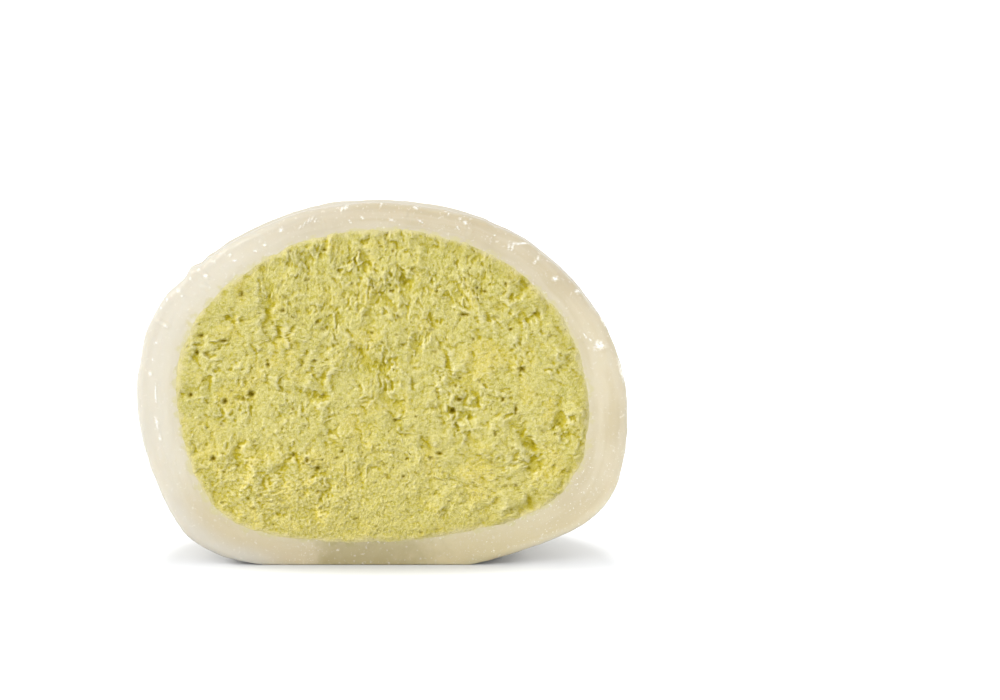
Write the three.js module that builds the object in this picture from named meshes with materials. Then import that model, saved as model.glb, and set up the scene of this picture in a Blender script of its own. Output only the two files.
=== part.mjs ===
// Half of a filled rice cake: a ball of soft rice dough round a scoop of green ice cream, cut down through
// the middle and standing on its flattened base.
// Units are millimetres. +Z is up, the cut face looks towards -Y, and X runs across it. The origin is on the
// ground, under the middle of the half's bounding box.
import * as THREE from "three";
import { ImprovedNoise } from "three/addons/math/ImprovedNoise.js";
import { mergeGeometries, mergeVertices } from "three/addons/utils/BufferGeometryUtils.js";

// Driving dimensions.
const WIDTH = 46; // of the whole cake, which was round seen from above
const HEIGHT = 34.5;
const WAIST = 15; // height of the widest level, where the centre of every skin lies
const SIDE_WALL = 3.6; // thickness of the dough at the waist, at the crown and under the filling
const CROWN_WALL = 2.3;
const BASE_WALL = 2.5;
const GAP = 0.3; // between the dough and the filling
const PRESSED = 0.3; // how far the soft base has been pressed flat on the ground
const RIM_DEPTH = 1.7; // the soft rim rolls over from the cut face to the outside within this depth
const RIM_SHARE = 0.45; // and within this share of the wall's thickness
const CRAG_HEIGHT = 0.95; // relief of the torn, frozen filling, from its pits to its crests
const CRAG_SIZE = 1.7; // width of one crag
const CRAG_STRETCH = 1.5; // crags are this much longer than wide
const CRAG_SLANT = 24; // degrees that their tops lean to the left
const CALM_EDGE = 0.1; // share of the filling's radius, at its edge, where the relief dies out

// Fineness, in steps.
const DOUGH_STEPS = 100; // round the cut face
const OUTSIDE_RINGS = 16; // from the rim to the back
const RIM_RINGS = 4;
const FACE_RINGS = 2;
const INSIDE_RINGS = 6;
const FACE_GRID = 25; // squares along each side of the grid that makes a quarter of the filling's face
const WELD = 0.01; // vertices closer than this are one

// A skin is a squat ball round the waist centre. Its crown and its foot have heights and powers of their own:
// a power of 2 is a true ellipse, and a higher one is boxier.
const OUTSIDE = {
  reach: WIDTH / 2,
  up: HEIGHT - WAIST,
  down: WAIST + PRESSED,
  crownPower: 1.94,
  footPower: 3.28,
};
const INSIDE = {
  reach: WIDTH / 2 - SIDE_WALL,
  up: HEIGHT - WAIST - CROWN_WALL,
  down: WAIST - BASE_WALL,
  crownPower: 2.05,
  footPower: 3,
};

// Swells and hollows that shaping by hand left. "around" is the angle in the cut plane, from +X up towards +Z,
// and "back" the angle from that plane towards the back, both in degrees. "rise" is in mm, "spread" in degrees.
const OUTSIDE_SWELLS = [
  { around: -37, back: 0, rise: -1.3, spread: 18.5 },
  { around: -159, back: 0, rise: -1.2, spread: 14 },
  { around: 157, back: 0, rise: 0.72, spread: 11 },
  { around: 138, back: 0, rise: 0.49, spread: 36 },
  { around: 55, back: 0, rise: 0.31, spread: 16 },
  { around: 96, back: 38, rise: -0.4, spread: 20 },
  { around: 150, back: 52, rise: 0.45, spread: 24 },
  { around: 24, back: 47, rise: -0.55, spread: 13 },
  { around: -8, back: 62, rise: 0.35, spread: 18 },
  { around: 122, back: 64, rise: -0.5, spread: 10 },
  { around: -150, back: 48, rise: -0.45, spread: 16 },
  { around: -90, back: 40, rise: 0.7, spread: 20 },
];
const INSIDE_SWELLS = [
  { around: -45, back: 0, rise: -0.7, spread: 30 },
  { around: -162, back: 0, rise: -0.95, spread: 14.5 },
  { around: 155, back: 0, rise: 0.69, spread: 12.4 },
];

const UP = new THREE.Vector3(0, 0, 1);
const radians = THREE.MathUtils.degToRad;
const noise = new ImprovedNoise();

function swellHeight(swell, direction) {
  const around = radians(swell.around);
  const back = radians(swell.back);
  const middle = new THREE.Vector3(
    Math.cos(around) * Math.cos(back),
    Math.sin(back),
    Math.sin(around) * Math.cos(back),
  );
  const away = 1 - middle.dot(direction);
  return swell.rise * Math.exp((-2 * away) / radians(swell.spread) ** 2);
}

// Distance from the waist centre to a skin, in a direction of unit length.
function skinRadius(skin, swells, direction) {
  const level = Math.hypot(direction.x, direction.y);
  const above = direction.z > 0;
  const height = above ? skin.up : skin.down;
  const power = above ? skin.crownPower : skin.footPower;
  const squat = ((level / skin.reach) ** power + (Math.abs(direction.z) / height) ** power) ** (-1 / power);
  return swells.reduce((radius, swell) => radius + swellHeight(swell, direction), squat);
}

function outsideRadius(direction) {
  return skinRadius(OUTSIDE, OUTSIDE_SWELLS, direction);
}

function insideRadius(direction) {
  return skinRadius(INSIDE, INSIDE_SWELLS, direction);
}

// The point at a radius from the waist centre, kept above the ground that pressed the base flat.
function pointAt(direction, radius) {
  const point = direction.clone().multiplyScalar(radius);
  point.z = Math.max(point.z + WAIST, 0);
  return point;
}

// Moves every vertex of a geometry to where "place" puts it.
function warp(geometry, place) {
  const position = geometry.getAttribute("position");
  const vertex = new THREE.Vector3();
  for (let i = 0; i < position.count; i++) {
    position.setXYZ(i, ...place(vertex.fromBufferAttribute(position, i)).toArray());
  }
  return geometry;
}

// Drops all but the positions and merges the vertices that meet, so that the surface is closed.
function closed(geometry) {
  geometry.deleteAttribute("normal");
  geometry.deleteAttribute("uv");
  const merged = mergeVertices(geometry, WELD);
  merged.computeVertexNormals();
  return merged;
}

// Points of a quarter turn from the front edge, on the X axis, to the back pole, on the Y axis.
function quarterTurn(radius, rings, start = 0) {
  const angles = Array.from({ length: rings + 1 }, (_, i) => start + ((Math.PI / 2 - start) * i) / rings);
  return angles.map((angle) => new THREE.Vector2(radius * Math.cos(angle), radius * Math.sin(angle)));
}

// The profile of a plain cup: its outside has a radius of 1, and its inside the radius "bore".
function cupProfile(bore) {
  const rimDepth = RIM_DEPTH / OUTSIDE.reach;
  const rimWidth = RIM_SHARE * (1 - bore);
  const inside = quarterTurn(bore, INSIDE_RINGS).reverse();
  const face = Array.from(
    { length: FACE_RINGS },
    (_, i) => new THREE.Vector2(bore + ((1 - rimWidth - bore) * (i + 1)) / FACE_RINGS, 0),
  );
  const outside = quarterTurn(1, OUTSIDE_RINGS, Math.asin(rimDepth));
  const roll = new THREE.EllipseCurve(1 - rimWidth, rimDepth, rimWidth, rimDepth, -Math.PI / 2, 0);
  const rim = roll.getPoints(RIM_RINGS).slice(1, -1);
  return [...inside, ...face, ...rim, ...outside];
}

// The dough is a plain cup, turned about the Y axis, whose two walls are then moved out to the two skins.
function doughGeometry() {
  const bore = INSIDE.reach / OUTSIDE.reach;
  const cup = new THREE.LatheGeometry(cupProfile(bore), DOUGH_STEPS);
  return closed(
    warp(cup, (vertex) => {
      const share = (vertex.length() - bore) / (1 - bore);
      const direction = vertex.clone().normalize();
      const radius = THREE.MathUtils.lerp(insideRadius(direction), outsideRadius(direction), share);
      return pointAt(direction, radius);
    }),
  );
}

// Height of the torn surface over the cut plane: crags that lean to the left.
function cragHeight(x, z) {
  const slant = radians(CRAG_SLANT);
  const across = (x * Math.cos(slant) + z * Math.sin(slant)) / CRAG_SIZE;
  const along = (z * Math.cos(slant) - x * Math.sin(slant)) / (CRAG_SIZE * CRAG_STRETCH);
  return CRAG_HEIGHT * noise.noise(across, along, 0.5);
}

function fillingRadius(direction) {
  return insideRadius(direction) - GAP;
}

// Puts a point of the unit disc on the filling's cut face. At the disc's centre any direction will do.
function facePoint(vertex) {
  const share = vertex.length();
  const direction = share > 0 ? new THREE.Vector3(vertex.x, 0, vertex.y).divideScalar(share) : UP;
  const point = pointAt(direction, share * fillingRadius(direction));
  const calm = THREE.MathUtils.smoothstep(1 - share, 0, CALM_EDGE);
  point.y = -calm * cragHeight(point.x, point.z);
  return point;
}

// Bends a square grid into a disc: squares become rings of evenly spaced points.
function squareToDisc(vertex) {
  const { x, y } = vertex;
  if (x === 0 && y === 0) return vertex;
  const wide = Math.abs(x) > Math.abs(y);
  const radius = wide ? x : y;
  const quarter = Math.PI / 4;
  const angle = wide ? (quarter * y) / x : 2 * quarter - (quarter * x) / y;
  return vertex.set(radius * Math.cos(angle), radius * Math.sin(angle), 0);
}

// One quarter of the filling's face, "turn" quarter turns on from the first.
function faceQuarter(turn) {
  const grid = new THREE.PlaneGeometry(1, 1, FACE_GRID, FACE_GRID);
  grid.translate(0.5, 0.5, 0).rotateZ((turn * Math.PI) / 2);
  return warp(grid, (vertex) => facePoint(squareToDisc(vertex)));
}

// The filling's wall is a plain bowl, turned about the Y axis and moved out to just inside the dough. It has
// as many steps as the face has squares round its edge, so that the two meet point to point.
function fillingWall() {
  const bowl = new THREE.LatheGeometry(quarterTurn(1, INSIDE_RINGS), 8 * FACE_GRID);
  return warp(bowl, (vertex) => {
    const direction = vertex.clone().normalize();
    return pointAt(direction, fillingRadius(direction));
  });
}

function fillingGeometry() {
  return closed(mergeGeometries([...[0, 1, 2, 3].map(faceQuarter), fillingWall()]));
}

const doughMaterial = new THREE.MeshStandardMaterial({ color: 0xe9dfc9, roughness: 0.45, metalness: 0 });
const fillingMaterial = new THREE.MeshStandardMaterial({ color: 0xc9c46a, roughness: 0.85, metalness: 0 });

const dough = new THREE.Mesh(doughGeometry(), doughMaterial);
dough.name = "dough";
const filling = new THREE.Mesh(fillingGeometry(), fillingMaterial);
filling.name = "filling";

const halfCake = new THREE.Group();
halfCake.add(dough, filling);
const box = new THREE.Box3().setFromObject(halfCake);
const middle = box.getCenter(new THREE.Vector3());
halfCake.position.set(-middle.x, -middle.y, -box.min.z);

export default halfCake;
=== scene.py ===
"""The looks of half a filled rice cake: soft moist dough round rough green ice cream.

Shapes are worked out in millimetres about the waist centre, the middle of the cut face at its widest level.
X runs across the cut face, Y from it to the round back, and Z up. Each finished mesh is then set into the
frame, in metres.
"""
import random
from math import asin, atan2, cos, exp, hypot, pi, radians, sin

import bmesh
import bpy
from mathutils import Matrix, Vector, kdtree, noise


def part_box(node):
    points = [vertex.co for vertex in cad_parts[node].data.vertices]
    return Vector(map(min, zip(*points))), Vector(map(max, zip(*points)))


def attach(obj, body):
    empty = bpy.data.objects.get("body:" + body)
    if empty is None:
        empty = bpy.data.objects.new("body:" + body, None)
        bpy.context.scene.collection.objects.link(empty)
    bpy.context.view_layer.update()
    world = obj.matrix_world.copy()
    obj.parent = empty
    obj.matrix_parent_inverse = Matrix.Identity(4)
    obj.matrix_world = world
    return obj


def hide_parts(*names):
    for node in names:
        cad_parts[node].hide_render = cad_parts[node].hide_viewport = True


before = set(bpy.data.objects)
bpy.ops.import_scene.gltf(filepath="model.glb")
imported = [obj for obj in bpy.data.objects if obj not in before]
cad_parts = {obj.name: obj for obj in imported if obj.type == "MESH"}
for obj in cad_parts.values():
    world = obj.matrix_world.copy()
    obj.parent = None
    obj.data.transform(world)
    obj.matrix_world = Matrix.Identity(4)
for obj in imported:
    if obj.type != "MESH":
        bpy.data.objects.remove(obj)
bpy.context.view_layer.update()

MM = 0.001

# The dough's two skins, as the part's source has them. A skin is a squat ball round the waist centre. Its
# crown and its foot have powers of their own: a power of 2 is a true ellipse, and a higher one is boxier.
WIDTH = 46
HEIGHT = 34.5
WAIST = 15  # height of the widest level
SIDE_WALL = 3.6  # thickness of the dough at the waist, at the crown and under the filling
CROWN_WALL = 2.3
BASE_WALL = 2.5
PRESSED = 0.3  # how far the soft base has been pressed flat on the ground
GAP = 0.3  # between the dough and the back of the filling
DOUGH_OFF_CENTRE = 0.046  # the waist centre lies this far right of the middle of the dough's box
OUTSIDE = {
    "reach": WIDTH / 2,
    "up": HEIGHT - WAIST,
    "down": WAIST + PRESSED,
    "crown_power": 1.94,
    "foot_power": 3.28,
    "swells": [  # degrees round, degrees back, rise in mm, spread in degrees
        (-37, 0, -1.3, 18.5),
        (-159, 0, -1.2, 14),
        (157, 0, 0.72, 11),
        (138, 0, 0.49, 36),
        (55, 0, 0.31, 16),
        (96, 38, -0.4, 20),
        (150, 52, 0.45, 24),
        (24, 47, -0.55, 13),
        (-8, 62, 0.35, 18),
        (122, 64, -0.5, 10),
        (-150, 48, -0.45, 16),
        (-90, 40, 0.7, 20),
    ],
}
INSIDE = {
    "reach": WIDTH / 2 - SIDE_WALL,
    "up": HEIGHT - WAIST - CROWN_WALL,
    "down": WAIST - BASE_WALL,
    "crown_power": 2.05,
    "foot_power": 3,
    "swells": [
        (-45, 0, -0.7, 30),
        (-162, 0, -0.95, 14.5),
        (155, 0, 0.69, 12.4),
    ],
}

# How far the knife smeared the dough in over the filling. Below 0, it smeared the filling over the dough.
CROWN_SMEAR = 0.13
FOOT_SMEAR = -0.22
LEFT_CROWN_SMEAR = 0.3  # added on the left, above the waist
LEFT_WAIST_SMEAR = -0.1
RIGHT_FOOT_SMEAR = 0.28  # added on the right, below the waist


def smooth(low, high, value):
    """0 at low, 1 at high, and an even S between them. Low may be the greater."""
    t = min(max((value - low) / (high - low), 0), 1)
    return t * t * (3 - 2 * t)


def lerp(a, b, t):
    """Goes evenly from a to b as t goes from 0 to 1."""
    return a + (b - a) * t


def turned(x, z, lean):
    """Coordinates across and along something whose top leans to the right by "lean"."""
    return x * cos(lean) - z * sin(lean), z * cos(lean) + x * sin(lean)


# ---------------------------------------------------------------- skins

FINER = 2.1  # in layered noise, each set of waves is this many times finer than the last
FADING = 0.6  # how quickly the finer ones get lower
BORDER_RADIUS = 19  # about how far the border and the dough lie from the waist centre
DOUGH_RADIUS = 20


def direction_to(around, back):
    """The direction "around" degrees up from +X in the cut plane, and "back" degrees behind that plane."""
    around, back = radians(around), radians(back)
    return Vector((cos(around) * cos(back), sin(back), sin(around) * cos(back)))


for skin in (OUTSIDE, INSIDE):
    skin["lumps"] = [
        (direction_to(around, back), rise, 2 / radians(spread) ** 2)
        for around, back, rise, spread in skin["swells"]
    ]


def skin_radius(skin, direction):
    """Distance from the waist centre to a skin, in a direction of unit length."""
    above = direction.z > 0
    height = skin["up"] if above else skin["down"]
    power = skin["crown_power"] if above else skin["foot_power"]
    level = hypot(direction.x, direction.y) / skin["reach"]
    radius = (level**power + (abs(direction.z) / height) ** power) ** (-1 / power)
    rises = (rise * exp((middle.dot(direction) - 1) * narrow) for middle, rise, narrow in skin["lumps"])
    return radius + sum(rises)


def fractal(point, size, octaves, seed):
    """Noise of about -1 to 1 whose broadest waves are "size" mm long."""
    place = Vector((point[0] / size + seed, point[1] / size, point[2] / size))
    return noise.fractal(place, FADING, FINER, octaves)


def border_wobble(direction):
    """How far the dough and the filling wander into each other at the cut."""
    where = BORDER_RADIUS * direction
    return 0.14 * fractal(where, 2.6, 2, seed=31) + 0.05 * fractal(where, 0.7, 2, seed=57)


def smear(direction):
    """How far the dough has been smeared in over the filling, in a direction of the cut plane."""
    inwards = lerp(FOOT_SMEAR, CROWN_SMEAR, smooth(-0.9, 0.1, direction.z))
    left = smooth(-0.6, -0.95, direction.x)
    crown = LEFT_CROWN_SMEAR * smooth(0.1, 0.4, direction.z)
    inwards += left * (crown + LEFT_WAIST_SMEAR * smooth(-0.4, 0, direction.z))
    inwards += RIGHT_FOOT_SMEAR * smooth(0.2, 0.8, direction.x) * smooth(-0.2, -0.5, direction.z)
    return inwards


def inside_radius(direction):
    """Distance from the waist centre to the border of dough and filling, as the cut shows it."""
    return skin_radius(INSIDE, direction) - smear(direction) + border_wobble(direction)


def on_ground(point):
    """Keeps a point above the ground that pressed the base flat."""
    point.z = max(point.z, -WAIST)
    return point


# ---------------------------------------------------------------- meshes


def middle_of_cut(right=0):
    """The middle of the cut at the waist's height, or "right" mm to the right of it, in metres."""
    low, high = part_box("dough")
    return Vector(((low.x + high.x) / 2 + right * MM, low.y, WAIST * MM))


def waist_centre():
    """Where the waist centre lies in the frame, in metres."""
    return middle_of_cut(DOUGH_OFF_CENTRE)


def new_layers(bm, *names):
    """Layers that hold a number for each vertex, which the material reads by their names."""
    return [bm.verts.layers.float.new(name) for name in names]


def finish_mesh(bm, name, material):
    """Turns a bmesh in mm about the waist centre into a piece in the frame, of one material."""
    centre = waist_centre()
    for vert in bm.verts:
        vert.co = vert.co * MM + centre
    for face in bm.faces:
        face.smooth = True
    mesh = bpy.data.meshes.new(name)
    bm.to_mesh(mesh)
    bm.free()
    piece = bpy.data.objects.new(name, mesh)
    bpy.context.scene.collection.objects.link(piece)
    mesh.materials.append(material)
    return piece


# ---------------------------------------------------------------- dough

DOUGH_STEPS = 1000  # round the cut
INSIDE_RINGS = 8
FACE_RINGS = 28
RIM_RINGS = 9
OUTSIDE_RINGS = 44
RING_GROWTH = 1.35  # above 1, the outside's rings lie closer together near the rim
WELD = 1e-6  # vertices of the plain cup that are closer than this are one
BORE = INSIDE["reach"] / OUTSIDE["reach"]  # inside radius of the plain cup

RIM_DEPTH = 0.9  # the rim rolls over from the cut to the outside within this depth
RIM_SHARE = 0.22  # and within this share of the wall's thickness
RIM_ROUND = 0.75  # 1 would roll it over in a true ellipse, and less keeps the cut flatter
FOOT_HEIGHT = 1.2  # the lower edge of the cut is crisp up to this height
FOOT_CRISP = 0.85  # share of its roll that the knife took away there
LIP_LIFT = 0.05  # how far the knife left that edge off the ground

# How uneven the dough is: the height of its waves, and their length.
WANDER, WANDER_SIZE = 0.1, 5  # everywhere
DENT, DENT_SIZE = 0.25, 8  # away from the rim
RIPPLE, RIPPLE_SIZE = 0.03, 1.1  # at the rim
SWELL, SWELL_SIZE = 0.04, 2.2  # on the cut
KNIFE_MARK = 0.1  # heights of the marks, creases and beads on the cut
CREASE = 0.05
BEAD = 0.09

# Swells and nubs of the cut rim, as degrees round the waist centre, rise in mm and spread in degrees.
RIM_NUBS = [
    (143.7, 0.36, 1.6),
    (139.2, 0.12, 1.2),
    (133.5, 0.1, 1.8),
    (151.5, 0.1, 1.4),
    (28, -0.08, 2),
    (62, 0.09, 1.6),
    (-30, 0.32, 14),
    (-140, 0.36, 14),
]

# Wet ridges and beads on the cut rim, as x, z, half length and half width in mm, and the degrees that their
# tops lean to the right. The material paints them near white as glints.
WET = [
    (-3.4, 19.5, 0.35, 0.16, 0),
    (-3.1, 19.7, 0.25, 0.1, 12),
    (-3.8, 19.0, 0.25, 0.08, 15),
    (-1.2, 19.7, 0.15, 0.08, 0),
    (0.3, 19.8, 0.12, 0.14, 0),
    (-0.1, 19.5, 0.22, 0.08, 35),
    (1.2, 19.8, 0.1, 0.1, 0),
    (3.1, 19.2, 0.2, 0.1, -65),
    (-1.9, 18.3, 0.22, 0.08, -50),
    (-3.0, 17.9, 0.2, 0.07, -50),
    (0.8, 18.1, 0.22, 0.1, -60),
    (3.5, 18.0, 0.42, 0.06, -48),
    (4.8, 19.1, 0.12, 0.07, 20),
    (6.0, 18.9, 0.18, 0.1, 50),
    (6.2, 18.6, 0.15, 0.09, 40),
    (6.6, 18.9, 0.12, 0.06, 0),
    (7.7, 18.6, 0.2, 0.08, 0),
    (7.3, 18.2, 0.12, 0.1, 0),
    (7.8, 17.8, 0.18, 0.15, -30),
    (8.3, 18.2, 0.12, 0.08, 0),
    (7.1, 17.3, 0.28, 0.06, -30),
    (10.5, 16.6, 0.1, 0.08, 0),
    (11.9, 15.6, 0.35, 0.07, 12),
    (12.2, 15.5, 0.4, 0.09, 8),
    (12.5, 15.8, 0.1, 0.3, 10),
    (13.2, 15.8, 0.08, 0.4, 8),
    (14.3, 14.1, 0.25, 0.1, 30),
    (14.6, 14.4, 0.2, 0.08, 20),
    (15.5, 14.2, 0.12, 0.14, 0),
    (16.2, 12.5, 0.22, 0.28, -15),
    (18.3, 11.2, 0.18, 0.2, 0),
    (20.4, 6.0, 0.3, 0.5, -20),
    (20.2, 6.3, 0.3, 0.2, 35),
    (19.0, 7.0, 0.3, 0.07, -35),
    (19.5, 6.6, 0.25, 0.06, -35),
    (20.6, 8.3, 0.7, 0.05, -30),
    (22.3, 3.7, 0.9, 0.07, -14),
    (-9.5, 17.1, 0.2, 0.2, -10),
    (-7.7, 17.4, 0.25, 0.06, 35),
    (-7.3, 17.7, 0.28, 0.06, 30),
    (-6.9, 18.0, 0.3, 0.07, 30),
    (-6.6, 18.2, 0.3, 0.08, 28),
    (-6.3, 18.0, 0.2, 0.06, 25),
    (-11.0, 15.7, 0.12, 0.16, 0),
    (-11.9, 15.1, 0.07, 0.2, 15),
    (-14.3, 14.7, 0.14, 0.12, 20),
    (-13.8, 14.2, 0.08, 0.2, 10),
    (-15.7, 14.1, 0.12, 0.08, 0),
    (-16.6, 12.7, 0.2, 0.16, 20),
    (-17.2, 13.3, 0.12, 0.12, 0),
    (-18.0, 12.5, 0.14, 0.12, 0),
    (-19.1, 11.3, 0.16, 0.18, 0),
    (-20.2, 10.4, 0.14, 0.1, 20),
    (-18.8, 10.8, 0.08, 0.08, 0),
    (-20.8, 9.6, 0.12, 0.08, 25),
    (-20.4, 7.9, 0.1, 0.16, 0),
    (-21.2, 6.3, 0.09, 0.2, 0),
    (-21.6, 4.7, 0.1, 0.08, 0),
    (-21.8, 3.4, 0.22, 0.12, 0),
    (-21.3, 1.4, 1.1, 0.05, 0),
    (-21.2, -1.3, 0.5, 0.11, -8),
    (-20.9, -2.7, 0.3, 0.08, -8),
]


def cup_profile():
    """Half of a plain cup's section, from the inside pole round the rim to the outside one."""
    rim_depth = RIM_DEPTH / OUTSIDE["reach"]
    rim_width = RIM_SHARE * (1 - BORE)
    edge = 1 - rim_width
    first = asin(rim_depth)
    inside_turns = [pi / 2 * (1 - i / INSIDE_RINGS) for i in range(INSIDE_RINGS + 1)]
    rim_turns = [pi / 2 * i / RIM_RINGS for i in range(1, RIM_RINGS)]
    steps = [(i / OUTSIDE_RINGS) ** RING_GROWTH for i in range(OUTSIDE_RINGS + 1)]
    inside = [(BORE * cos(a), BORE * sin(a)) for a in inside_turns]
    face = [(lerp(BORE, edge, i / FACE_RINGS), 0) for i in range(1, FACE_RINGS + 1)]
    rim = [
        (edge + rim_width * sin(a) ** RIM_ROUND, rim_depth * (1 - cos(a) ** RIM_ROUND)) for a in rim_turns
    ]
    outside = [(cos(a), sin(a)) for a in (lerp(first, pi / 2, step) for step in steps)]
    return inside + face + rim + outside


def spun_cup():
    """The plain cup, spun about the Y axis."""
    bm = bmesh.new()
    points = [bm.verts.new((x, y, 0)) for x, y in cup_profile()]
    edges = [bm.edges.new(pair) for pair in zip(points, points[1:])]
    bmesh.ops.spin(
        bm,
        geom=points + edges,
        cent=(0, 0, 0),
        axis=(0, 1, 0),
        angle=2 * pi,
        steps=DOUGH_STEPS,
        use_merge=True,
    )
    bmesh.ops.remove_doubles(bm, verts=bm.verts, dist=WELD)
    return bm


def rim_nubs(angle):
    """Rise of the rim's outline at an angle in degrees."""
    return sum(rise * exp(-(((angle - a + 180) % 360 - 180) / spread) ** 2) for a, rise, spread in RIM_NUBS)


def dough_radius(direction, share):
    """Radius of the dough at a share of its wall, from 0 inside to 1 outside."""
    angle = atan2(direction.z, direction.x) * 180 / pi
    at_rim = 1 - smooth(0.1, 0.3, direction.y)
    where = DOUGH_RADIUS * direction
    wander = WANDER * fractal(where, WANDER_SIZE, 3, seed=3)
    dents = DENT * (1 - at_rim) * fractal(where, DENT_SIZE, 2, seed=71)
    ripples = RIPPLE * at_rim * fractal(where, RIPPLE_SIZE, 2, seed=11)
    outside = skin_radius(OUTSIDE, direction) + (wander + dents + ripples) + at_rim * rim_nubs(angle)
    return lerp(inside_radius(direction), outside, share)


def crisp_foot(point, depth):
    """Takes the roll off the lower edge of the cut and lifts it off the ground."""
    low = 1 - smooth(0, FOOT_HEIGHT, point.z + WAIST)
    point.z += LIP_LIFT * low * (1 - smooth(0.2, 1.4, depth))
    point.y *= 1 - FOOT_CRISP * low * (1 - smooth(RIM_DEPTH, 2.5, depth))
    return point


def ring_detail(point, share, outside):
    """Rise of the wet cut rim: knife marks that cross it above, and soft creases along it on the left."""
    angle = atan2(point.z, point.x)
    reach = hypot(point.x, point.z)
    upper = smooth(-0.1, 0.35, sin(angle))
    crest = exp(-(((share - 0.62) / 0.3) ** 2))
    calm = smooth(0.05, 0.35, share)
    marks = noise.noise(Vector((angle * 44, reach / 1.5, 4)))
    strokes = smooth(0.18, 0.5, marks) * smooth(-0.1, 0.25, noise.noise(Vector((angle * 5, 0, 9))))
    left = smooth(0.5, 0.95, -cos(angle))
    creases = noise.noise(Vector((angle * 5, reach / 0.5, 21)))
    swells = SWELL * calm * fractal(point, SWELL_SIZE, 2, seed=17)
    return (1 - outside) * (swells + KNIFE_MARK * upper * crest * strokes + CREASE * left * creases)


def raise_wet(bm, wet_layer):
    """Raises the wet ridges and beads, and marks them for the material, which paints them near white as
    glints.
    """
    front = [vert for vert in bm.verts if vert.co.y < 0.6]
    finder = kdtree.KDTree(len(front))
    for i, vert in enumerate(front):
        finder.insert(vert.co, i)
    finder.balance()
    for x, z, long, wide, lean in WET:
        for place, i, _ in finder.find_range((x, 0, z), 1.6 * max(long, wide)):
            across, along = turned(place.x - x, place.z - z, radians(lean))
            ragged = 0.4 * noise.noise(place * 3) + 0.8 * noise.noise(place * 8)
            bead = 1 - smooth(0.2, 1.5, hypot(across / wide, along / long) + ragged)
            front[i].co += BEAD * bead * front[i].normal
            front[i][wet_layer] = max(front[i][wet_layer], bead)


def make_dough(material):
    bm = spun_cup()
    outside_layer, border_layer, wet_layer = new_layers(bm, "outside", "border", "wet")
    shares = {}
    for vert in bm.verts:
        length = vert.co.length
        direction = vert.co / length
        share = (length - BORE) / (1 - BORE)
        depth = vert.co.y * OUTSIDE["reach"]
        shares[vert] = share
        vert.co = crisp_foot(on_ground(direction * dough_radius(direction, share)), depth)
        vert[outside_layer] = smooth(0.3, 1.6, depth) * smooth(0.5, 0.9, share)
        vert[border_layer] = 1 - share
    bmesh.ops.recalc_face_normals(bm, faces=bm.faces)
    bm.normal_update()
    # The border with the filling and the base stay as they are.
    for vert in bm.verts:
        if shares[vert] > 0.02 and vert.co.z > -WAIST + 0.05:
            vert.co += vert.normal * ring_detail(vert.co, shares[vert], vert[outside_layer])
            on_ground(vert.co)
    # The dough's inner edge is sharp where the knife cut it.
    for edge in bm.edges:
        if all(abs(shares[vert]) < 0.001 and vert.co.y < 0.2 for vert in edge.verts):
            edge.smooth = False
    raise_wet(bm, wet_layer)
    return finish_mesh(bm, "dough_shell", material)


# ---------------------------------------------------------------- filling

FACE_SQUARES = 300  # along each side of the grid that is bent into the face
BACK_RINGS = 6
TUCK = 0.45  # how far the filling's edge runs into the dough
PROUD = 0.04  # how far it stands over the dough beside it
SUNK = 0.03  # depth at which its face runs in under the dough
EDGE_RELIEF = 0.3  # share of the relief that is left at the border
STRETCH = 1.3  # the torn flakes are this much longer than wide
LEAN_LEFT = radians(2)  # how far their tops lean to the left, on the left and on the right of the face
LEAN_RIGHT = radians(30)
PATCH_WIDTH, PATCH_HEIGHT = 2.4, 3.2  # of patches that are torn more or less than those beside them
FLAKE_SEED = 7  # of the noise that tilts the flakes, which would else start anew from the clock at each run

# Places on the face that are torn more (above 1) or smeared smooth (below 1), as x, z, width and height in
# mm, and the tearing.
TEARING = [
    (8.9, -0.5, 3.4, 1.9, 1.7),
    (13.3, -3.8, 1.5, 1.2, 1.4),
    (16.0, -7.6, 1.2, 1.2, 1.5),
    (12.8, -9.2, 1.3, 1.0, 1.4),
    (1.0, 12.8, 2.2, 1.4, 1.5),
    (14.3, 2.3, 1.9, 2.1, 0.2),
    (7.0, -8.2, 4.5, 2.4, 0.8),
    (-3.5, 2.2, 1.8, 1.8, 0.6),
    (8.0, 7.5, 1.8, 2.6, 0.6),
    (-9.5, -8.0, 6.0, 3.5, 1.4),
]

# Air bubbles that the cut laid open, as x, z, half width and half height in mm. The rest are scattered.
BIG_PITS = [
    (-9.3, 9.4, 0.2, 0.2),
    (-6.1, 8.3, 0.18, 0.16),
    (-5.4, 15.2, 0.24, 0.16),
    (-8.7, 15.1, 0.2, 0.14),
    (-6.4, 4.6, 0.2, 0.18),
    (-14.9, 6.5, 0.45, 0.17),
    (-17.0, 7.0, 0.3, 0.2),
    (-17.4, 5.4, 0.2, 0.2),
    (-10.7, 4.2, 0.2, 0.16),
    (-13.2, 11.0, 0.16, 0.34),
    (-18.0, 1.3, 0.22, 0.24),
    (-14.8, 0.7, 0.26, 0.28),
    (-12.3, 1.4, 0.3, 0.3),
    (-15.9, -4.8, 0.26, 0.26),
    (-3.8, -4.1, 0.18, 0.16),
    (-7.1, -4.9, 0.24, 0.28),
    (-6.1, -5.7, 0.28, 0.22),
    (12.0, 7.6, 0.2, 0.14),
    (13.1, 3.8, 0.36, 0.26),
    (0.8, 11.3, 0.2, 0.14),
    (9.6, 11.2, 0.26, 0.14),
    (7.7, 9.0, 0.5, 0.16),
    (7.2, 0.9, 0.34, 0.2),
    (6.6, -0.2, 0.32, 0.3),
    (12.5, -0.1, 0.14, 0.5),
    (11.3, 0.9, 0.24, 0.2),
    (1.2, -1.1, 0.18, 0.18),
    (5.4, -4.3, 0.32, 0.14),
]
SMALL_PITS = 60
CREVICES = 170
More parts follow.
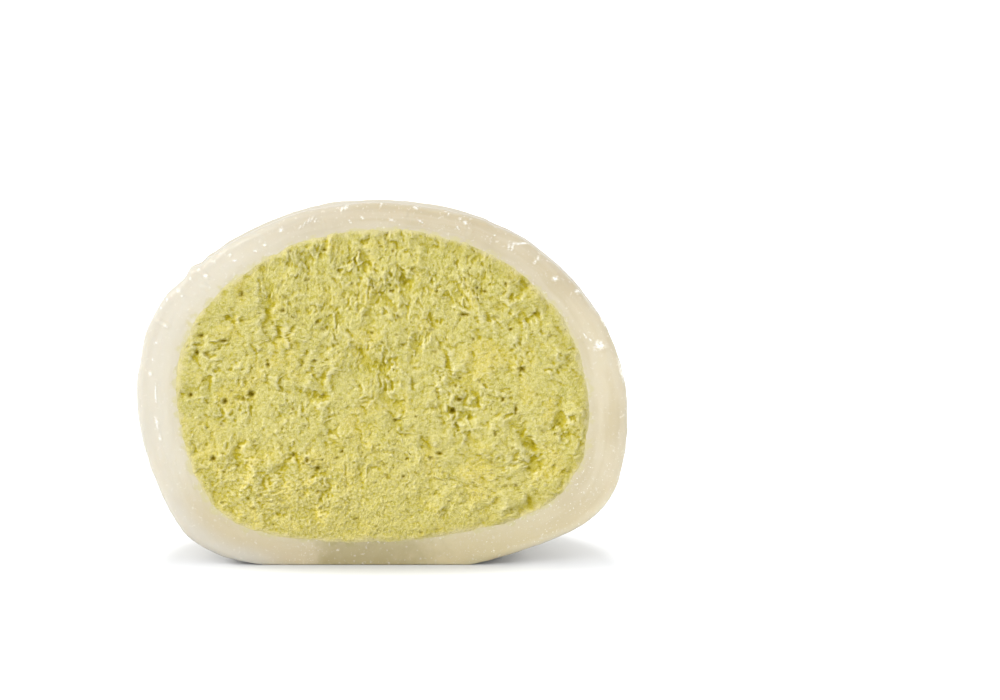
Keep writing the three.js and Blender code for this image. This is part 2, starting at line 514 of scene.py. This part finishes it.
PIT_CHANCE = 0.7  # that a scattered pit stays where it falls, where the tearing is 1
PIT_MARGIN = 0.5  # between a scattered pit and the border
FACE_REACH, FACE_FOOT, FACE_CROWN = 19, -12, 17  # sides, foot and crown of the field they fall on

AROUND = [(right, up) for right in (-1, 0, 1) for up in (-1, 0, 1) if right or up]
AWAY = 2  # squares from a point to those that it is compared with


noise.seed_set(FLAKE_SEED)


def wave(across, along, size, layer):
    """Noise whose waves are "size" mm long. Each layer is another noise."""
    return noise.noise(Vector((across / size, along / size, layer)))


def flakes(across, along, size, layer):
    """Height of flat flakes of about "size" mm, each tilted its own way."""
    place = Vector((across / size, along / size, layer))
    middle = noise.voronoi(place)[1][0]
    return size * (place - middle).dot(noise.noise_vector(middle * 3.7))


def bent(value, x, z, layer):
    """A coordinate pushed aside by noise, so that no flake is straight."""
    return value + 0.6 * wave(x, z, 3.2, layer) + 0.35 * wave(x, z, 0.9, layer + 1)


def flake_lean(x):
    return lerp(LEAN_LEFT, LEAN_RIGHT, smooth(-12, 14, x))


def tearing(x, z):
    """How roughly the filling is torn, from 0 where the knife smeared it smooth to about 2."""
    amount = lerp(0.6, 1, smooth(-12.2, -8, z + 0.15 * x))
    patch = noise.noise(Vector((x / PATCH_WIDTH, z / PATCH_HEIGHT, 77)))
    amount *= lerp(0.62, 1.3, smooth(-0.3, 0.35, patch))
    for middle_x, middle_z, width, height, change in TEARING:
        away = ((x - middle_x) / width) ** 2 + ((z - middle_z) / height) ** 2
        amount *= 1 + (change - 1) * exp(-away)
    return amount


def relief(x, z):
    """Height of the torn filling over the cut plane: crumbly at the lower left, with larger flakes above."""
    across, along = turned(bent(x, x, z, 40), bent(z, x, z, 60), -flake_lean(x))
    along /= STRETCH
    upper = lerp(0.6, 1, smooth(-9, 5, z))
    broad = lerp(0.9, 1.18, smooth(-14, -5, x))
    crumbly = exp(-(((x + 10) / 7) ** 2) - ((z + 7.5) / 4) ** 2)
    chips = smooth(0.2, 0.5, wave(across, along, 0.6, 5) + 0.35 * wave(across, along, 0.25, 6))
    return tearing(x, z) * (
        0.18 * broad * wave(across, along, 2.2, 7)
        + 0.12 * broad * wave(across, along, 1.1, 8)
        + 0.05 * wave(across, along, 0.55, 15)
        + 0.12 * broad * upper * flakes(across, along, 1.2, 3)
        + lerp(0.17, 0.11, crumbly) * flakes(across, along, 0.6, 9)
        - 0.1 * upper * chips
    ) + lerp(0.05, 0.1, crumbly) * wave(x, z, 0.24, 35)


def torn_place(rng):
    """A random place on the filling's face, more often where it is torn more."""
    while True:
        x, z = rng.uniform(-FACE_REACH, FACE_REACH), rng.uniform(FACE_FOOT, FACE_CROWN)
        border = inside_radius(Vector((x, 0, z)).normalized())
        if hypot(x, z) < border - PIT_MARGIN and rng.random() < PIT_CHANCE * tearing(x, z):
            return x, z


def pits():
    """Every pit as x, z, half width, half height and depth in mm, its lean to the right and the strength of
    the shade painted in it.
    """
    rng = random.Random(7)
    found = [(x, z, wide, high, 0.9 * min(wide, high), 0, 1) for x, z, wide, high in BIG_PITS]
    for _ in range(SMALL_PITS):
        x, z = torn_place(rng)
        wide = 0.08 + 0.1 * rng.random() ** 2
        found.append((x, z, wide, wide * rng.uniform(0.8, 1.3), wide * rng.uniform(0.5, 1.1), 0, 0.9))
    for _ in range(CREVICES):
        x, z = torn_place(rng)
        high = rng.uniform(0.08, 0.16)
        wide = high + 0.25 * rng.random() ** 2
        lean = radians(rng.uniform(-25, 40)) + flake_lean(x)
        found.append((x, z, wide, high, rng.uniform(0.03, 0.12), lean, rng.uniform(0.3, 0.7)))
    return found


def sink_pits(bm, pit_layer):
    """Sinks the pits, and marks them for the material, which paints shade in them."""
    finder = kdtree.KDTree(len(bm.verts))
    bm.verts.ensure_lookup_table()
    for i, vert in enumerate(bm.verts):
        finder.insert((vert.co.x, 0, vert.co.z), i)
    finder.balance()
    for x, z, wide, high, depth, lean, painted_shade in pits():
        for place, i, _ in finder.find_range((x, 0, z), 1.7 * max(wide, high)):
            vert = bm.verts[i]
            across, along = turned(place.x - x, place.z - z, lean)
            away = hypot(across / wide, along / high) + 0.4 * noise.noise(place * 5)
            hollow = 1 - smooth(0.4, 1.4, away)
            vert.co.y += depth * hollow
            vert[pit_layer] = max(vert[pit_layer], painted_shade * hollow)


def square_to_disc(x, y):
    """Radius and turn in a disc of a point of a square, whose nested squares become evenly spaced rings."""
    if abs(x) > abs(y):
        return x, pi / 4 * y / x
    if y == 0:
        return 0, 0
    return y, pi / 2 - pi / 4 * x / y


def grid_place(vert):
    """Column and row of a vertex of the plain square grid."""
    return tuple(round((value + 1) / 2 * FACE_SQUARES) for value in vert.co.xy)


def cavity(heights, column, row):
    """How much higher a point is than those round it."""
    total = 0
    for right, up in AROUND:
        near_column = min(max(column + AWAY * right, 0), FACE_SQUARES)
        near_row = min(max(row + AWAY * up, 0), FACE_SQUARES)
        total += heights[near_column, near_row]
    return heights[column, row] - total / len(AROUND)


def add_back(bm):
    """Closes the filling with a plain round back, just inside the dough."""
    edges = [edge for edge in bm.edges if edge.is_boundary]
    for ring in range(1, BACK_RINGS + 1):
        turn = pi / 2 * ring / (BACK_RINGS + 1)
        grown = bmesh.ops.extrude_edge_only(bm, edges=edges)["geom"]
        verts = [item for item in grown if isinstance(item, bmesh.types.BMVert)]
        edges = [item for item in grown if isinstance(item, bmesh.types.BMEdge)]
        for vert in verts:
            angle = atan2(vert.co.z, vert.co.x)
            direction = Vector((cos(angle) * cos(turn), sin(turn), sin(angle) * cos(turn)))
            vert.co = on_ground(direction * (skin_radius(INSIDE, direction) - GAP))
    bmesh.ops.contextual_create(bm, geom=edges)


def make_filling(material):
    bm = bmesh.new()
    bmesh.ops.create_grid(bm, x_segments=FACE_SQUARES, y_segments=FACE_SQUARES, size=1)
    relief_layer, crest_layer, pit_layer, edge_layer = new_layers(bm, "relief", "crest", "pit", "edge")
    places = {vert: grid_place(vert) for vert in bm.verts}
    heights = {}
    for vert in bm.verts:
        share, angle = square_to_disc(vert.co.x, vert.co.y)
        direction = Vector((cos(angle), 0, sin(angle))) * (1 if share >= 0 else -1)
        radius = inside_radius(direction)
        reach = abs(share) * (radius + TUCK)
        point = on_ground(direction * reach)
        height = lerp(EDGE_RELIEF, 1, smooth(-0.1, 0.5, radius - reach)) * relief(point.x, point.z)
        heights[places[vert]] = height
        # The relief and crest layers steer the material's painted shade in hollows and creases and painted
        # light on crests.
        vert[relief_layer] = height
        vert[edge_layer] = radius - reach
        sunk = smooth(radius - 0.2, radius + 0.35, reach)
        point.y = TUCK if abs(share) > 0.999 else lerp(-PROUD - height, SUNK, sunk)
        vert.co = point
    for vert, place in places.items():
        vert[crest_layer] = cavity(heights, *place)
    sink_pits(bm, pit_layer)
    add_back(bm)
    bmesh.ops.recalc_face_normals(bm, faces=bm.faces)
    return finish_mesh(bm, "ice_cream", material)


# ---------------------------------------------------------------- materials


def set_inputs(tree, node, values):
    """Sets a node's inputs to numbers and colours, or links them to other nodes' outputs."""
    for name, value in values.items():
        if isinstance(value, bpy.types.NodeSocket):
            tree.links.new(value, node.inputs[name])
        else:
            node.inputs[name].default_value = value


def add(tree, kind, values=None, **settings):
    """A new shader node with its inputs and its properties."""
    node = tree.nodes.new("ShaderNode" + kind)
    for name, value in settings.items():
        setattr(node, name, value)
    set_inputs(tree, node, values or {})
    return node


def new_material(name):
    material = bpy.data.materials.new(name)
    material.use_nodes = True
    tree = material.node_tree
    return material, tree, tree.nodes["Principled BSDF"]


def linear(value):
    """A screen's value from 0 to 255, in the linear form that a shader takes."""
    value /= 255
    return value / 12.92 if value <= 0.04045 else ((value + 0.055) / 1.055) ** 2.4


def colour(red, green, blue):
    """A colour given as it looks on a screen, from 0 to 255."""
    return (linear(red), linear(green), linear(blue), 1)


def place_of(tree):
    """The piece's own coordinates, in metres."""
    return add(tree, "TexCoord").outputs["Object"]


def spots(tree, size, detail=3, roughness=0.55, stretch=(1, 1, 1), seed=0):
    """Noise in the piece's own coordinates, whose waves are "size" mm long before they are stretched."""
    scale = tuple(1 / (size * MM * s) for s in stretch)
    mapped = add(tree, "Mapping", {"Vector": place_of(tree), "Scale": scale, "Location": (seed, seed, seed)})
    values = {"Vector": mapped.outputs[0], "Scale": 1, "Detail": detail, "Roughness": roughness}
    return add(tree, "TexNoise", values).outputs["Fac"]


def vector(tree, operation, values):
    return add(tree, "VectorMath", values, operation=operation).outputs[0]


def ring_streaks(tree, border, length, width, seed):
    """Noise that runs round the cut ring, in waves "length" mm long and "width" mm wide."""
    outwards = vector(tree, "SUBTRACT", {0: place_of(tree), 1: waist_centre()})
    direction = vector(tree, "NORMALIZE", {0: outwards})
    round_ring = vector(tree, "SCALE", {0: direction, "Scale": DOUGH_RADIUS / length})
    across = add(tree, "CombineXYZ", {0: seed, 1: times(tree, border, 3 / width), 2: seed}).outputs[0]
    where = vector(tree, "ADD", {0: round_ring, 1: across})
    return add(tree, "TexNoise", {"Vector": where, "Scale": 1, "Detail": 2}).outputs["Fac"]


def fade(tree, value, low, high, start=0.0, end=1.0):
    """Maps low..high of a value onto start..end in an even S, without going past them."""
    values = {"Value": value, "From Min": low, "From Max": high, "To Min": start, "To Max": end}
    return add(tree, "MapRange", values, interpolation_type="SMOOTHSTEP").outputs[0]


def blend(tree, amount, first, second, kind="MIX"):
    mixer = add(tree, "Mix", {0: amount, 6: first, 7: second}, data_type="RGBA", blend_type=kind)
    return mixer.outputs[2]


def times(tree, first, second):
    return add(tree, "Math", {0: first, 1: second}, operation="MULTIPLY").outputs[0]


def plus(tree, first, second):
    return add(tree, "Math", {0: first, 1: second}, operation="ADD").outputs[0]


def attribute(tree, name):
    """A number that a vertex layer of the mesh holds."""
    return add(tree, "Attribute", attribute_name=name).outputs["Fac"]


def rough(tree, height, distance):
    """The normal of a finely rough surface: "distance" is the roughness's depth in mm."""
    return add(tree, "Bump", {"Height": height, "Distance": distance * MM, "Strength": 1}).outputs[0]


def ice_cream_body(tree, side, level):
    """Pale green with yellower patches, streaky yellow at the lower left, and olive spots."""
    patches = fade(tree, spots(tree, 3.6, 3, 0.5, seed=3), 0.5, 0.64)
    plain = blend(tree, patches, colour(190, 182, 98), colour(198, 185, 86))
    mixed = times(tree, fade(tree, side, 4 * MM, -8 * MM), fade(tree, level, 14 * MM, 8 * MM))
    yellow = fade(tree, spots(tree, 1.9, 3, 0.6, seed=21), 0.48, 0.62)
    streaky = blend(tree, yellow, colour(180, 170, 82), colour(218, 204, 108))
    tinted = blend(tree, times(tree, mixed, 0.8), plain, streaky)
    olive = fade(tree, spots(tree, 1.5, 4, 0.62, (1, 1, 1.5), 41), 0.5, 0.66, 0.0, 0.7)
    return blend(tree, olive, tinted, colour(168, 162, 74))


def ice_cream_grain(tree, body):
    """Pale grain and dark speckles over the body's colour."""
    grain = fade(tree, spots(tree, 0.28, 3, 0.7, seed=9), 0.35, 0.65)
    speckle = fade(tree, spots(tree, 0.55, 3, 0.65, seed=31), 0.54, 0.68, 0.0, 0.7)
    grained = blend(tree, times(tree, grain, 0.6), body, colour(216, 209, 150))
    return blend(tree, speckle, grained, colour(168, 158, 50))


def ice_cream_crag_shading(tree, body):
    """Painted shade makes hollows, creases and pits darker and deeper in colour, and painted light makes
    crests paler.
    """
    height = attribute(tree, "relief")
    crest = attribute(tree, "crest")
    pit = attribute(tree, "pit")
    # Painted shade in hollows, creases and pits, and painted light on crests.
    low = times(tree, fade(tree, height, 0.0, -0.25), 0.7)
    shaded = blend(tree, low, body, colour(176, 164, 36))
    crease_shaded = blend(tree, times(tree, fade(tree, crest, 0.0, -0.08), 0.8), shaded, colour(172, 156, 12))
    lit = blend(tree, times(tree, fade(tree, crest, 0.0, 0.08), 0.6), crease_shaded, colour(224, 218, 168))
    pit_shaded = blend(tree, pit, lit, colour(142, 124, 0))
    return blend(tree, fade(tree, pit, 0.85, 1, 0.0, 0.6), pit_shaded, colour(96, 84, 8))


def ice_cream_edge(tree, body, side):
    """Darker near the border, mostly on the right, and smeared with dough at it."""
    edge = attribute(tree, "edge")
    darker = times(tree, fade(tree, edge, 1.8, 0.8), fade(tree, side, -4 * MM, 10 * MM, 0.06, 0.22))
    rimmed = blend(tree, darker, body, colour(160, 148, 52))
    ragged = plus(tree, edge, fade(tree, spots(tree, 0.9, 3, 0.6, seed=63), 0.3, 0.7, -0.3, 0.3))
    return blend(tree, times(tree, fade(tree, ragged, 0.5, -0.2), 0.85), rimmed, colour(206, 197, 148))


def ice_cream_material():
    material, tree, shader = new_material("green_ice_cream")
    place = add(tree, "SeparateXYZ", {0: place_of(tree)})
    side, level = place.outputs["X"], place.outputs["Z"]
    body = ice_cream_grain(tree, ice_cream_body(tree, side, level))
    torn = ice_cream_edge(tree, ice_cream_crag_shading(tree, body), side)
    warm, cool = (1.03, 1.0, 0.97, 1), (0.98, 0.96, 0.95, 1)
    warmth = blend(tree, fade(tree, level, 5 * MM, 18 * MM), warm, cool)
    set_inputs(tree, shader, {
        "Base Color": blend(tree, 1.0, torn, warmth, "MULTIPLY"),
        "Roughness": 0.7,
        "Specular IOR Level": 0.1,
        "Subsurface Weight": 0.08,
        "Subsurface Radius": (1.0, 0.9, 0.25),
        "Subsurface Scale": 0.5 * MM,
        "Normal": rough(tree, spots(tree, 0.16, 3, 0.7, seed=5), 0.2),
    })
    return material


def cut_dough(tree, border, side, height, middle_shade_and_tint):
    """The moist cut: cloudy ivory, with painted light that makes it paler on the left, and painted shade
    that darkens it near the ground, greener in the middle where the filling shows through.
    """
    cloud = blend(tree, 0.5, spots(tree, 4.5, 2, 0.5, seed=2), ring_streaks(tree, border, 9, 0.8, seed=5))
    cut = blend(tree, fade(tree, cloud, 0.38, 0.62), colour(213, 202, 174), colour(204, 191, 158))
    # Painted light: the left side is paler, most towards the skin, as light from the left leaves it.
    paler = times(tree, fade(tree, side, 2 * MM, -20 * MM), fade(tree, height, 3 * MM, 12 * MM))
    outer = fade(tree, border, 0.95, 0.5, 0.5, 1.0)
    left_lit = blend(tree, times(tree, paler, outer), cut, colour(216, 209, 191))
    # Painted shade near the ground, greenish where the filling shows through the thin base.
    near_ground = times(tree, fade(tree, height, 8 * MM, 0.5 * MM), 0.9)
    right = fade(tree, side, -10 * MM, 8 * MM)
    foot_shade_tint = blend(tree, right, colour(206, 192, 158), colour(208, 194, 152))
    foot = blend(tree, near_ground, left_lit, foot_shade_tint)
    return blend(tree, times(tree, middle_shade_and_tint, near_ground), foot, colour(175, 162, 118))


def lit_cut_corners(tree, cut, border, side, height):
    """Painted light: both lower corners of the cut are paler towards the skin, where the rolled rim turns
    down out of the light, the left one greyer than the right one.
    """
    left = times(tree, fade(tree, side, -8 * MM, -13 * MM), fade(tree, height, 11 * MM, 5 * MM))
    left_side = times(tree, fade(tree, border, 0.7, 0.15), times(tree, left, 0.8))
    cornered = blend(tree, left_side, cut, colour(212, 207, 195))
    right = times(tree, fade(tree, side, 9 * MM, 15 * MM), fade(tree, height, 10 * MM, 5 * MM))
    right_side = times(tree, fade(tree, border, 0.3, 0.02), times(tree, right, 0.85))
    return blend(tree, right_side, cornered, colour(228, 218, 192))


def shaded_cut_crown(tree, cut, border, side, height):
    """Painted shade: the crown is a little darker, and so is the rim where it rolls over above the foot."""
    crown = times(tree, fade(tree, height, 22 * MM, 28 * MM), fade(tree, side, -14 * MM, -6 * MM))
    crowned = blend(tree, crown, cut, (0.93, 0.92, 0.925, 1), "MULTIPLY")
    dim = blend(tree, fade(tree, border, 0.4, 0.02), (1, 1, 1, 1), (0.9, 0.91, 0.94, 1))
    return blend(tree, fade(tree, height, 6 * MM, 13 * MM), crowned, dim, "MULTIPLY")


def cut_border(tree, cut, border, height, middle_shade_and_tint):
    """The filling's colour, smeared unevenly over the dough beside it, and darker in the middle near the
    ground, where shade is painted on the foot.
    """
    foot_shade_and_tint = times(tree, middle_shade_and_tint, fade(tree, height, 8 * MM, 0.5 * MM))
    tint = blend(tree, foot_shade_and_tint, colour(204, 194, 145), colour(166, 155, 100))
    uneven = fade(tree, spots(tree, 1.1, 3, 0.6, seed=61), 0.3, 0.7, -0.12, 0.12)
    smeared = fade(tree, plus(tree, border, uneven), 0.84, 1.02)
    return blend(tree, times(tree, smeared, 0.9), cut, tint)


def cut_grains(tree, cut, side, height):
    """Pale frost specks all over, which also stand in as painted tiny glints, and grains of starch on the
    lower right and in a spot of the foot's left.
    """
    frost_and_glints = fade(tree, spots(tree, 0.4, 3, 0.65, seed=12), 0.58, 0.72, 0.0, 0.6)
    grains = fade(tree, spots(tree, 0.16, 1, 0.5, seed=14), 0.69, 0.76, 0.0, 0.8)
    sandy_right = times(tree, fade(tree, side, 4 * MM, 10 * MM), fade(tree, height, 14 * MM, 9 * MM))
    sandy_left = times(tree, fade(tree, side, -4.5 * MM, -7 * MM), fade(tree, side, -11 * MM, -8.5 * MM))
    sandy = plus(tree, sandy_right, times(tree, sandy_left, fade(tree, height, 2.4 * MM, 0.8 * MM)))
    frosted_and_glinting = blend(tree, frost_and_glints, cut, colour(226, 220, 206))
    return blend(tree, times(tree, grains, sandy), frosted_and_glinting, colour(246, 243, 234))


def dusted_skin(tree, depth):
    """The dry outside: ivory skin under drifts and clumps of starch, and painted shade that darkens it
    beside the cut.
    """
    bald = fade(tree, spots(tree, 9, 3, 0.5, seed=8), 0.5, 0.68)
    bare = blend(tree, bald, colour(205, 194, 165), colour(190, 175, 132))
    drifts = fade(tree, spots(tree, 4, 5, 0.6, seed=4), 0.4, 0.66, 0.3, 1.0)
    powder = fade(tree, spots(tree, 0.3, 4, 0.7, seed=24), 0.38, 0.66, 0.0, 0.85)
    dusted = blend(tree, times(tree, powder, drifts), bare, colour(221, 214, 200))
    clumps = times(tree, fade(tree, spots(tree, 0.45, 3, 0.6, seed=6), 0.62, 0.72), drifts)
    powdered = blend(tree, times(tree, clumps, 0.7), dusted, colour(238, 235, 228))
    # Painted shade along the skin just behind the cut.
    front = waist_centre().y
    lip_shade = fade(tree, depth, front + 5 * MM, front + 1.5 * MM)
    return blend(tree, times(tree, lip_shade, 0.7), powdered, colour(198, 191, 174))


def dough_material():
    material, tree, shader = new_material("rice_dough")
    outside = attribute(tree, "outside")
    border = attribute(tree, "border")
    place = add(tree, "SeparateXYZ", {0: place_of(tree)})
    side, depth, height = (place.outputs[axis] for axis in "XYZ")
    # The middle, with uneven edges, is where painted shade darkens the foot most, greener where the filling
    # shows through the thin dough.
    wander = fade(tree, spots(tree, 2.2, 3, 0.6, seed=17), 0, 1, -3 * MM, 3 * MM)
    wandered = plus(tree, side, wander)
    middle_shade_and_tint = times(tree, fade(tree, wandered, -8.2 * MM, -4.2 * MM), fade(tree, wandered, 7 * MM, 1 * MM))
    cut = cut_dough(tree, border, side, height, middle_shade_and_tint)
    cut = lit_cut_corners(tree, cut, border, side, height)
    cut = shaded_cut_crown(tree, cut, border, side, height)
    cut = cut_border(tree, cut, border, height, middle_shade_and_tint)
    cut = cut_grains(tree, cut, side, height)
    # Painted glints: the wet beads are painted near white, as highlights, broken up by noise.
    glint_breakup = fade(tree, spots(tree, 0.25, 2, 0.6, seed=51), 0.4, 0.54, 0.4, 1.0)
    painted_glints = blend(tree, times(tree, attribute(tree, "wet"), glint_breakup), cut, colour(250, 249, 243))
    set_inputs(tree, shader, {
        "Base Color": blend(tree, outside, painted_glints, dusted_skin(tree, depth)),
        "Roughness": fade(tree, outside, 0, 1, 0.24, 0.62),
        "Specular IOR Level": 0.5,
        "Subsurface Weight": fade(tree, border, 0.98, 0.8, 0.0, 0.5),
        "Subsurface Radius": (1.0, 0.85, 0.6),
        "Subsurface Scale": 1.6 * MM,
        "Coat Weight": fade(tree, outside, 0, 1, 0.35, 0.0),
        "Coat Roughness": 0.12,
        "Normal": rough(tree, spots(tree, 0.5, 4, 0.6, seed=7), 0.03),
    })
    return material


# ---------------------------------------------------------------- stage

# The camera looks down on the cut face from straight in front, from far away.
CAMERA_DISTANCE = 2000
CAMERA_ELEVATION = radians(11.5)
CAMERA_AIM = (11.07, 0, 20.63 - WAIST)  # from the middle of the cut at the waist's height
CAMERA_NEAR = 10  # nothing nearer than this is seen
SEEN_WIDTH = 93.8  # across the whole frame, at the cut face
SENSOR = 36

# Light. A share of 1 makes a white surface that faces the light as bright as white paper.
AMBIENT = 1.14
WINDOW_FROM = (-0.78, -0.3, 0.55)
WINDOW_ANGLE = radians(25)
WINDOW_SHARES = {"ice_cream": 1.0, "dough_shell": 0.16}
OVERHEAD_FROM = (-0.03, 0.2, 1)
OVERHEAD_ANGLE = radians(20)
OVERHEAD_SHARE = 0.6
FLOOR_SIDES = {"left": (1.0, (-0.9, 0.18, 0.45)), "right": (0.8, (0.9, 0.18, 0.45))}
SPARKLE_PLACE = (-300, -420, 330)
SPARKLE_SIDE = 50  # of the square panel
SPARKLE_SHARE = 0.1

# The floor, as the camera sees it and as the light that bounces off it sees it.
FLOOR_SEEN = (0.68, 0.69, 0.705, 1)
FLOOR_BOUNCE = (0.46, 0.47, 0.485, 1)
FLOOR_HALF_METRES = 6
WHITE = (1, 1, 1, 1)


def place_camera():
    camera_data = bpy.data.cameras.new("camera")
    camera_data.sensor_width = SENSOR
    camera_data.lens = SENSOR * CAMERA_DISTANCE / SEEN_WIDTH
    camera_data.clip_start = CAMERA_NEAR * MM
    camera = bpy.data.objects.new("camera", camera_data)
    bpy.context.scene.collection.objects.link(camera)
    aim = middle_of_cut() + Vector(CAMERA_AIM) * MM
    back = Vector((0, -cos(CAMERA_ELEVATION), sin(CAMERA_ELEVATION)))
    camera.location = aim + back * CAMERA_DISTANCE * MM
    camera.rotation_euler = (-back).to_track_quat("-Z", "Y").to_euler()
    bpy.context.scene.camera = camera


def light(name, kind, energy, towards, place=(0, 0, 0)):
    data = bpy.data.lights.new(name, kind)
    data.energy = energy
    lamp = bpy.data.objects.new(name, data)
    lamp.location = Vector(place) * MM
    lamp.rotation_euler = Vector(towards).to_track_quat("-Z", "Y").to_euler()
    bpy.context.scene.collection.objects.link(lamp)
    return data


def light_only(receiver, name, share, come_from, angle):
    """A distant light that falls on one thing and on nothing else."""
    sun = light(name, "SUN", share * pi, -Vector(come_from))
    sun.angle = angle
    lit = bpy.data.collections.new("lit_by_" + name)
    lit.objects.link(bpy.context.scene.objects[receiver])
    bpy.context.scene.objects[name].light_linking.receiver_collection = lit


def make_lights():
    """Lights that fall on one thing each, and a small panel that lights everything.

    Each piece gets the window's light in a strength of its own, the floor gets lights that throw soft
    shadows on it, and the panel makes the glints on the wet rim.
    """
    for name, share in WINDOW_SHARES.items():
        light_only(name, "window_on_" + name, share, WINDOW_FROM, WINDOW_ANGLE)
    light_only("floor", "overhead", OVERHEAD_SHARE, OVERHEAD_FROM, OVERHEAD_ANGLE)
    for side, (share, come_from) in FLOOR_SIDES.items():
        light_only("floor", "floor_light_" + side, share, come_from, WINDOW_ANGLE)
    place = Vector(SPARKLE_PLACE)
    power = SPARKLE_SHARE * pi**2 * place.length_squared * MM**2
    sparkle = light("sparkle", "AREA", power, Vector((0, 0, HEIGHT / 2)) - place, place)
    sparkle.size = SPARKLE_SIDE * MM


def seen_by_camera(tree):
    """1 for what the camera sees directly, and 0 for light on its way between surfaces."""
    return add(tree, "LightPath").outputs["Is Camera Ray"]


def make_floor():
    material, tree, shader = new_material("pale_floor")
    shade = blend(tree, seen_by_camera(tree), FLOOR_BOUNCE, FLOOR_SEEN)
    set_inputs(tree, shader, {"Base Color": shade, "Roughness": 0.9, "Specular IOR Level": 0.1})
    bm = bmesh.new()
    bmesh.ops.create_grid(bm, x_segments=1, y_segments=1, size=FLOOR_HALF_METRES)
    mesh = bpy.data.meshes.new("floor")
    bm.to_mesh(mesh)
    bm.free()
    floor = bpy.data.objects.new("floor", mesh)
    mesh.materials.append(material)
    bpy.context.scene.collection.objects.link(floor)


def make_world():
    """A white studio. The camera sees it plain white, and it lights everything a little more strongly."""
    world = bpy.data.worlds.new("studio")
    world.use_nodes = True
    tree = world.node_tree
    strength = fade(tree, seen_by_camera(tree), 0, 1, AMBIENT, 1)
    set_inputs(tree, tree.nodes["Background"], {"Color": WHITE, "Strength": strength})
    bpy.context.scene.world = world
    bpy.context.scene.view_settings.view_transform = "Standard"


place_camera()
make_floor()
make_world()
dough = make_dough(dough_material())
filling = make_filling(ice_cream_material())
make_lights()
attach(dough, "root")
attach(filling, "root")
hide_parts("dough")
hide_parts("filling")
